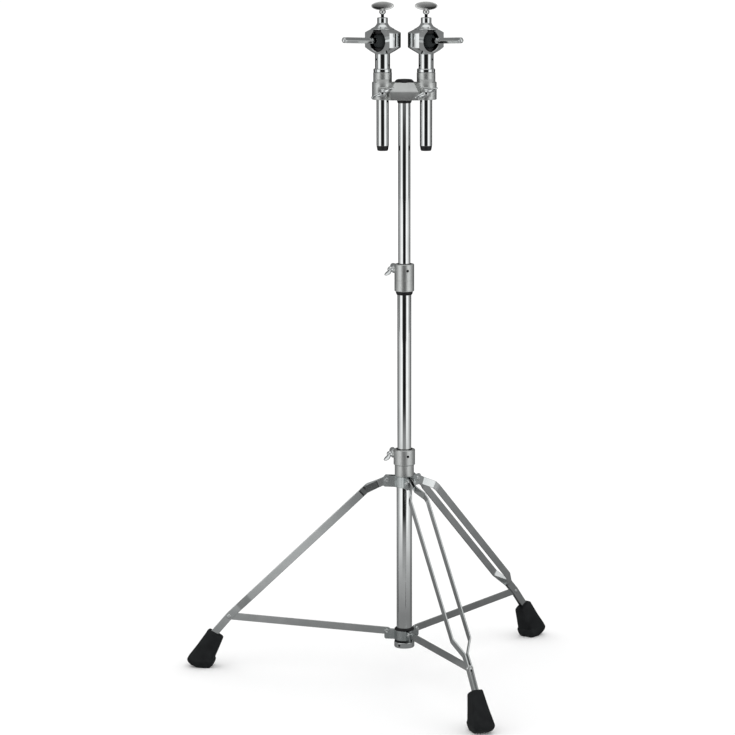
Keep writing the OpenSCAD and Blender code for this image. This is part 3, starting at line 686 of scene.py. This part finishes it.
def bracket_shells():
    """The twin bracket: two bored end rings, a web, a hub with sloping shoulders and two front lugs."""
    shells = []
    ring = rounded([(TOP_R + 0.1, BRACKET_Z), (19, BRACKET_Z), (19, BRACKET_TOP), (TOP_R + 0.1, BRACKET_TOP)],
                   [0.3, 1.2, 1.2, 0.3])
    for side in (-1, 1):
        shells.append(turned(ring, (side * ARM_X, 0, 0)))
        lug = rounded([(8.5, -9), (8.5, 9), (-8.5, 9), (-8.5, -9)], 2.5, steps=3)
        lug_depths = ((-12, 1.0), (-22.5, 1.0), (-23.6, 0.94), (-24.2, 0.84))
        shells.append(lofted([
            np.column_stack([side * ARM_X + lug[:, 0] * share, np.full(len(lug), depth), LUG_Z + lug[:, 1] * share])
            for depth, share in lug_depths
        ]))
    web = rectangle(56, 27, 3.0)
    web_levels = ((0.0, 0.97), (0.9, 1.0), (26.5, 1.0), (27.6, 0.97))
    shells.append(lofted([np.column_stack([web * share, np.full(len(web), BRACKET_Z + rise)])
                          for rise, share in web_levels]))
    hub_levels = (
        (0.0, 25.2, 29.4, 26.2), (0.9, 25.8, 30.2, 27.0), (14.2, 25.8, 30.2, 27.0), (15.6, 25.2, 29.8, 26.6),
        (16.6, 24.4, 29.2, 25.9), (29.4, 18.2, 22.4, 17.9), (30.8, 17.2, 21.4, 16.9), (31.4, 15.8, 20.0, 15.6)
    )
    shells.append(lofted([level_loop(hub_outline(a, b, c), 1.2, BRACKET_Z + rise)
                          for rise, a, b, c in hub_levels]))
    return shells


piece("twin_bracket_skin", bracket_shells(), "bracket", SATIN, ["twin_bracket"])
cap = rounded([(0, BRACKET_TOP - 1.2), (17, BRACKET_TOP - 1.2), (17, BRACKET_TOP + 1.4), (13.5, BRACKET_TOP + 4.6),
               (0, BRACKET_TOP + 5.6)], [0, 0.3, 1.0, 4, 0], closed=False)
piece("bracket_cap_skin", [turned(cap)], "bracket", NYLON, ["bracket_cap"])
bush_low = span("bracket_bush")[0][2]
bush = rounded([(TOP_R + 0.05, bush_low), (TOP_R + 0.9, bush_low), (13.4, bush_low + 3.6), (13.4, BRACKET_Z),
                (TOP_R + 0.05, BRACKET_Z)], [0.2, 0.5, 1.0, 0.2, 0.2])
piece("bracket_bush_skin", [turned(bush)], "bracket", NYLON, ["bracket_bush"])


# ---------------------------------------------------------------- arms

BALL_Z = 1171.5
BORE_R, RECESS_R = 17.25, 13.0
ROD_RISE, WINDOW_AZIMUTH, WINDOW_R = 2.7, -41.0, 18.5
ROD_AZIMUTH = {"left": -50.0, "right": -44.0}
WING_TURN = 12.0
FACET = 14.4
HEAD_R, SEAT_R = 32.75, 14.2


def cut(made, cutters):
    """A shell with other shells taken out of it by exact booleans."""
    objects = []
    for k, (points, polygons) in enumerate([made] + cutters):
        mesh = bpy.data.meshes.new(f"cut_{k}")
        mesh.from_pydata(points.tolist(), [], polygons)
        objects.append(bpy.data.objects.new(f"cut_{k}", mesh))
        bpy.context.scene.collection.objects.link(objects[-1])
    body = objects[0]
    for cutter in objects[1:]:
        step = body.modifiers.new("cut", "BOOLEAN")
        step.operation = "DIFFERENCE"
        step.solver = "EXACT"
        step.object = cutter
    rim = body.modifiers.new("rim", "BEVEL")
    rim.width = 0.45
    rim.segments = 2
    rim.limit_method = "ANGLE"
    rim.angle_limit = math.radians(38)
    bpy.context.view_layer.update()
    result = body.evaluated_get(bpy.context.evaluated_depsgraph_get()).to_mesh()
    points = np.zeros(len(result.vertices) * 3, np.float32)
    result.vertices.foreach_get("co", points)
    polygons = [list(p.vertices) for p in result.polygons]
    for made_object in objects:
        bpy.data.objects.remove(made_object)
    return points.reshape(-1, 3).astype(float), polygons


def housing():
    """A clamp head about its own axis: a barrel with conical shoulders, bored for the ball from above, cut
    flat on one side and opened by a round window in that flat."""
    low, high = span("left_housing")
    outer = rounded([
        (0, low[2]), (13.6, low[2]), (14.6, low[2] + 0.6), (23.4, low[2] + 5.6), (HEAD_R - 0.3, low[2] + 11.2),
        (HEAD_R, low[2] + 12.2), (HEAD_R, high[2] - 6.2), (HEAD_R - 0.8, high[2] - 5.2), (21.6, high[2]), (0, high[2])
    ], [0, 0.3, 0.6, 3.0, 1.0, 1.0, 0.8, 0.8, 0.5, 0], closed=False)
    barrel = turned(outer, count=144)
    bore = turned([(0, BALL_Z - 19.3), (RECESS_R, BALL_Z - 19.3), (RECESS_R, BALL_Z - 14.6), (BORE_R, BALL_Z - 14.6),
                   (BORE_R, high[2] + 9), (0, high[2] + 9)], count=96)
    facing = outward(WINDOW_AZIMUTH)
    ball_middle = UP * BALL_Z
    rim_r = WINDOW_R + 0.9
    hole = turned([(0, 0), (WINDOW_R, 0), (WINDOW_R, FACET - 1.0), (rim_r, FACET + 0.1), (rim_r, 60), (0, 60)],
                  ball_middle, facing, 96)
    slab = rectangle(120, 120, 1.0)
    frame_rows = basis(facing)
    flat = lofted([ball_middle + slab @ frame_rows[:2] + facing * depth for depth in (FACET, 80.0)])
    return cut(barrel, [bore, flat, hole])


def dome():
    """The cap over the ball: a wide foot, a hollow flare and a straight collar that holds the screw."""
    low, high = span("left_dome")
    base = low[2]
    return turned(rounded([
        (2.8, base), (20.8, base), (21.2, base + 0.9), (17.6, base + 2.6), (13.6, base + 5.2), (11.0, base + 8.4),
        (9.7, base + 11.2), (9.5, base + 12.2), (9.5, high[2]), (2.8, high[2])
    ], [0.2, 0.3, 0.5, 6, 6, 5, 1.5, 0.5, 0.8, 0.3], steps=5))


def neck():
    """The neck under a clamp head with its wider collar ring."""
    low, high = span("left_neck")
    base = low[2]
    return turned(rounded([
        (TOP_R, base), (16.0, base), (16.3, base + 0.5), (16.3, base + 5.4), (15.9, base + 6.0), (13.5, base + 6.2),
        (13.5, high[2]), (TOP_R, high[2])
    ], [0.2, 0.3, 0.3, 0.6, 0.3, 0.3, 0.4, 0.3]))


def lock_sleeve():
    """The memory lock: a ring with a stepped foot and a tapered tongue that sits over the bracket's front."""
    low, high = span("left_lock_sleeve")
    ring = turned(rounded([(TOP_R + 0.05, low[2]), (16.75, low[2]), (16.75, high[2]), (TOP_R + 0.05, high[2])],
                          [0.3, 0.5, 0.7, 0.3]))
    levels = ((high[2] - 12.0, 11.5, 17.4), (low[2] - 0.6, 11.2, 19.3), (low[2] - 9.0, 6.6, 20.2),
              (low[2] - 11.0, 5.2, 20.0))
    loops = []
    for z, half, reach in levels:
        angle = np.linspace(-1, 1, 9) * math.asin(half / 20.2)
        front = np.stack([reach * np.sin(angle), -reach * np.cos(angle)], -1)
        back = front[::-1] * (reach - 1.2 - (0.9 if z > low[2] else 0)) / reach
        loop = np.vstack([front, back])
        loops.append(np.column_stack([loop, np.full(len(loop), z)]))
    return [ring, lofted(loops)]


def rod_axis(hand):
    """Where a rod points, on the left arm; the right arm is its mirror image."""
    return unit(outward(ROD_AZIMUTH[hand]) + UP * math.tan(math.radians(ROD_RISE)))


def ball(hand):
    """The nylon ball: half circle (R sin t, -R cos t) carried round the rod's axis."""
    t = np.linspace(0, math.pi, 49)
    profile = np.stack([17.0 * np.sin(t), -17.0 * np.cos(t)], -1)
    profile[[0, -1], 0] = 0
    return turned(profile, UP * BALL_Z, rod_axis(hand), 96)


def rod(hand):
    """A hexagonal rod with softened edges; its nose shrinks as a quarter ellipse over the last stretch."""
    start, stop, nose = -6.5, 92.0, 7.0
    corners = [(5.98 * math.cos(a), 5.98 * math.sin(a)) for a in np.arange(6) * math.pi / 3]
    section = rounded(corners, 0.9, steps=3)
    rise = np.linspace(0, math.pi / 2 * 0.97, 10)
    stops = np.concatenate([[start, start + 0.6, stop - nose - 0.4], stop - nose + nose * np.sin(rise)])
    shares = np.concatenate([[0.92, 1, 1], np.cos(rise) ** 0.7])
    rows = basis(rod_axis(hand))
    rings = UP * BALL_Z + (section[None] * shares[:, None, None]) @ rows[:2] + stops[:, None, None] * rows[2]
    return shell(rings)


def seats():
    """Lower seat and upper pad, hollowed to the ball."""
    lower = [(0, BALL_Z - 19.1), (12.9, BALL_Z - 19.1), (12.9, BALL_Z - 14.5), (SEAT_R, BALL_Z - 14.5),
             (SEAT_R, BALL_Z - 13.0), (11.4, BALL_Z - 13.0), (9.0, BALL_Z - 14.8), (0, BALL_Z - 17.3)]
    upper = [(0, BALL_Z + 17.3), (9.0, BALL_Z + 14.8), (11.0, BALL_Z + 13.5), (SEAT_R, BALL_Z + 13.5),
             (SEAT_R, BALL_Z + 19.5), (0, BALL_Z + 19.5)]
    return [turned(lower), turned(upper)]


def head_wing():
    """The head's wing: an upright oval plate, thinner at the top, on a round knuckle."""
    plate = lens(20.6, 7.7, 2.6, (0, 0, 1233.7), sideways(WING_TURN), UP, 0.3, 96)
    knuckle = turned(rounded([(0, 1219.0), (4.0, 1219.0), (5.9, 1221.6), (5.9, 1224.4), (4.2, 1228.4), (0, 1230)],
                             [0, 1.2, 1.6, 1.6, 2.0, 0], closed=False), count=48)
    return [plate, knuckle]


def roll_pin(azimuth, height):
    """A black pin end that stands just proud of the neck."""
    outline = [(0, 9.0), (2.0, 9.0), (2.0, 13.8), (1.8, 14.0), (0.8, 14.0), (0.7, 13.7), (0, 13.7)]
    return turned(outline, UP * height, outward(azimuth), 20)


low, high = span("left_arm_tube")
arm_tube = turned(rounded([(TOP_R - 1.2, low[2]), (TOP_R, low[2]), (TOP_R, high[2]), (TOP_R - 1.2, high[2])], 0.4),
                  count=112)
cap_low, cap_high = span("left_arm_cap")
arm_cap = turned(rounded([
    (0, cap_low[2]), (8.6, cap_low[2]), (9.6, cap_low[2] + 1.0), (11.0, cap_low[2] + 8.8), (9.8, cap_low[2] + 8.8),
    (9.8, cap_high[2]), (0, cap_high[2])
], [0, 0.6, 1.2, 0.4, 0.1, 0.3, 0], closed=False), count=64)
neck_base = span("left_neck")[0][2]
screw_top = rounded([(0, 1191.3), (2.75, 1191.3), (2.75, 1220), (0, 1220)], [0, 0.3, 0, 0], closed=False)


def paint_housing_shade(mesh, middle):
    """Paint shade into a housing's bore and the wall of its window: all that lies near the ball's middle is darkened
    to a tenth, as painted shade.
    """
    points = np.empty(len(mesh.vertices) * 3)
    mesh.vertices.foreach_get("co", points)
    away = np.linalg.norm(points.reshape(-1, 3) / MM - middle, axis=1)
    # Painted shade: the colour is multiplied by 0.10 within about 24 mm of the ball's middle and by 1 beyond.
    painted_shade = 0.10 + 0.90 * np.clip((away - 23.7) / 0.4, 0, 1)
    held = mesh.color_attributes.new("painted_shade", "FLOAT_COLOR", "POINT")
    held.data.foreach_set("color", np.repeat(painted_shade, 4))


ARM_PARTS = [
    # name, shells, body, material
    ("arm_tube", [arm_tube], "arm", TUBE_CHROME),
    ("arm_cap", [arm_cap], "arm", NYLON),
    ("neck", [neck()], "arm", CHROME),
    ("roll_pins", [roll_pin(-58, neck_base + 23), roll_pin(58, neck_base + 12.5)], "arm", BLACK_STEEL),
    ("housing", [housing()], "arm", HOUSING_CHROME),
    ("dome", [dome()], "arm", CHROME),
    ("lock_sleeve", lock_sleeve(), "lock", SATIN),
    ("ball_seats", seats(), "seats", NYLON),
    ("head_wing_bolt", head_wing(), "head_wing", BRUSHED),
]
for side, hand in ((-1, "left"), (1, "right")):
    rod_parts = [("ball", [ball(hand)], "ball_part", BALL_NYLON), ("rod", [rod(hand)], "rod_part", CHROME)]
    for name, shells, body, finish in ARM_PARTS + rod_parts:
        placed = [moved(made if side < 0 else mirrored(made), (side * ARM_X, 0, 0)) for made in shells]
        skin = piece(f"{hand}_{name}_skin", placed, f"{hand}_{body}", finish, [f"{hand}_{name}"])
        if name == "housing":
            # The housing's bore and window wall get painted shade.
            paint_housing_shade(skin.data, np.array([side * ARM_X, 0, BALL_Z]))
    piece(f"{hand}_head_screw", [moved(turned(screw_top, count=32), (side * ARM_X, 0, 0))],
          f"{hand}_head_wing", BLACK_STEEL)
    wing_bolt(f"{hand}_arm_wing_bolt", f"{hand}_arm_wing", np.array([side * ARM_X, ARM_WING_Y, LUG_Z]),
              (0, -1, 0), 24, TOP_R + 0.5 + ARM_WING_Y, 4.0)


# ---------------------------------------------------------------- floor, light and camera

def smooth(low, high, value):
    """A smooth step from 0 at low to 1 at high: t^2 (3 - 2t)."""
    t = np.clip((value - low) / (high - low), 0, 1)
    return t * t * (3 - 2 * t)


def room_shares(azimuth):
    """How much of the dark front, the bright side boxes and the dim back lies at an azimuth."""
    a = np.abs(azimuth)
    back = smooth(82, 104, a)
    front = 1 - smooth(22, 34, a)
    return front, (1 - front) * (1 - back), back


# Brightness of the room's wall by azimuth, in degrees away from straight ahead: black in front, a white box at
# each side, a dark gap, and a dim back that fades to dark.
ROOM_AT = (0, 25, 31, 36, 42, 50, 64, 74, 79, 83, 86, 91, 95, 106, 116, 128, 180)
ROOM_LEVEL = (0.012, 0.02, 0.35, 0.95, 1.19, 1.19, 1.12, 0.78, 0.36, 0.26, 0.02, 0.02, 0.46, 0.44, 0.15, 0.03, 0.03)


def room_glow(azimuth, elevation):
    """Brightness of the room: its wall by azimuth, no darker than a faint glow just above the horizon, and a
    dim ceiling that rises to white overhead."""
    a = np.abs(azimuth)
    level = np.maximum(np.interp(a, ROOM_AT, ROOM_LEVEL), 0.18 * smooth(7, 13, elevation))
    middle = 0.22 + 0.34 * (1 - smooth(40, 62, a))
    ceiling = middle + (1.0 - middle) * smooth(52, 70, elevation)
    return level + (ceiling - level) * smooth(20, 36, elevation)


def floor_glow(azimuth, reach):
    """Brightness of the floor by distance in metres: grey near the stand, then black ahead, white at the sides
    and dim behind."""
    front, side, back = room_shares(azimuth)
    a = np.abs(azimuth)
    side = side * (1 - 0.38 * smooth(48, 80, a) * smooth(1.0, 2.0, reach))
    back = back * (1 - (1 - smooth(84, 96, a)) * smooth(1.4, 2.6, reach))
    ahead = np.interp(reach, [0.3, 0.6, 1.0, 1.5, 1.9, 2.3], [0.25, 0.42, 0.38, 0.28, 0.17, 0.012])
    beside = np.interp(reach, [0.3, 0.6, 1.5, 2.2], [0.25, 0.40, 0.85, 1.19])
    behind = np.interp(reach, [0.5, 1.2, 2.2], [0.18, 0.26, 0.34])
    fade = smooth(1.4, 2.6, reach) * smooth(112, 138, a)
    return front * ahead + side * beside + back * (behind - 0.28 * fade)


def stage_mesh(name, points, faces, glow=None):
    """A stage surface in metres. With a glow at each point it shines in reflections only."""
    mesh = bpy.data.meshes.new(name)
    mesh.from_pydata(points.tolist(), [], faces)
    made, shader, add, join = material(name)
    shader.inputs["Specular IOR Level"].default_value = 0.0
    card = bpy.data.objects.new(name, mesh)
    bpy.context.scene.collection.objects.link(card)
    mesh.materials.append(made)
    if glow is None:
        shader.inputs["Base Color"].default_value = (0.95, 0.95, 0.95, 1)
        return
    shader.inputs["Base Color"].default_value = (0, 0, 0, 1)
    shader.inputs["Emission Strength"].default_value = 1.0
    held = mesh.color_attributes.new("glow", "FLOAT_COLOR", "POINT")
    held.data.foreach_set("color", np.column_stack([glow * 0.985, glow, glow, np.ones(len(glow))]).ravel())
    join(add("ShaderNodeAttribute", attribute_name="glow").outputs["Color"], shader.inputs["Emission Color"])
    card.visible_camera = card.visible_diffuse = False
    card.visible_shadow = card.visible_transmission = False


def grid_faces(rows, cols):
    """Quads of an open grid of points."""
    i, j = np.arange(rows - 1)[:, None], np.arange(cols - 1)[None]
    return np.stack([i * cols + j, i * cols + j + 1, (i + 1) * cols + j + 1, (i + 1) * cols + j],
                    -1).reshape(-1, 4).tolist()


FLOOR, ROOM = 60.0, 9.0
corners = np.array([[-FLOOR, -FLOOR, 0], [FLOOR, -FLOOR, 0], [FLOOR, FLOOR, 0], [-FLOOR, FLOOR, 0]])
stage_mesh("floor", corners, [[0, 1, 2, 3]])
azimuths = np.linspace(-180, 180, 145)[None]
reaches = np.array([0.01, 0.3, 0.5, 0.65, 0.8, 1.0, 1.25, 1.5, 1.75, 2.0, 2.2, 2.5, 2.8, 3.5, 5.0, ROOM])[:, None]
turn = np.radians(azimuths)
disc = np.stack([reaches * np.sin(turn), -reaches * np.cos(turn), 0.002 + 0 * reaches * turn], -1)
stage_mesh("floor_glow", disc.reshape(-1, 3), grid_faces(*disc.shape[:2]),
           floor_glow(azimuths + 0 * reaches, reaches + 0 * azimuths).ravel())
rises = np.linspace(0, 90, 31)[:, None]
lift = np.radians(rises)
dome_points = ROOM * np.stack([np.cos(lift) * np.sin(turn), -np.cos(lift) * np.cos(turn),
                               np.sin(lift) + 0 * turn], -1)
stage_mesh("room_glow", dome_points.reshape(-1, 3), grid_faces(*dome_points.shape[:2]),
           room_glow(azimuths + 0 * rises, rises + 0 * azimuths).ravel())

world = bpy.data.worlds.new("studio")
world.use_nodes = True
bpy.context.scene.world = world
sky = world.node_tree.nodes["Background"]
sky.inputs["Color"].default_value = (1.0, 1.0, 1.0, 1)
sky.inputs["Strength"].default_value = 1.12

camera_data = bpy.data.cameras.new("camera")
camera_data.sensor_width = 36.0
camera_data.lens = 141.65
camera_data.shift_x = -0.0501
camera_data.shift_y = -0.0023
camera_data.clip_end = 200.0
camera = bpy.data.objects.new("camera", camera_data)
camera.location = (0.0, -5.2, 1.442)
camera.rotation_euler = (math.radians(90 - 9.389), 0, 0)
bpy.context.scene.collection.objects.link(camera)
bpy.context.scene.camera = camera
bpy.context.scene.view_settings.view_transform = "Standard"
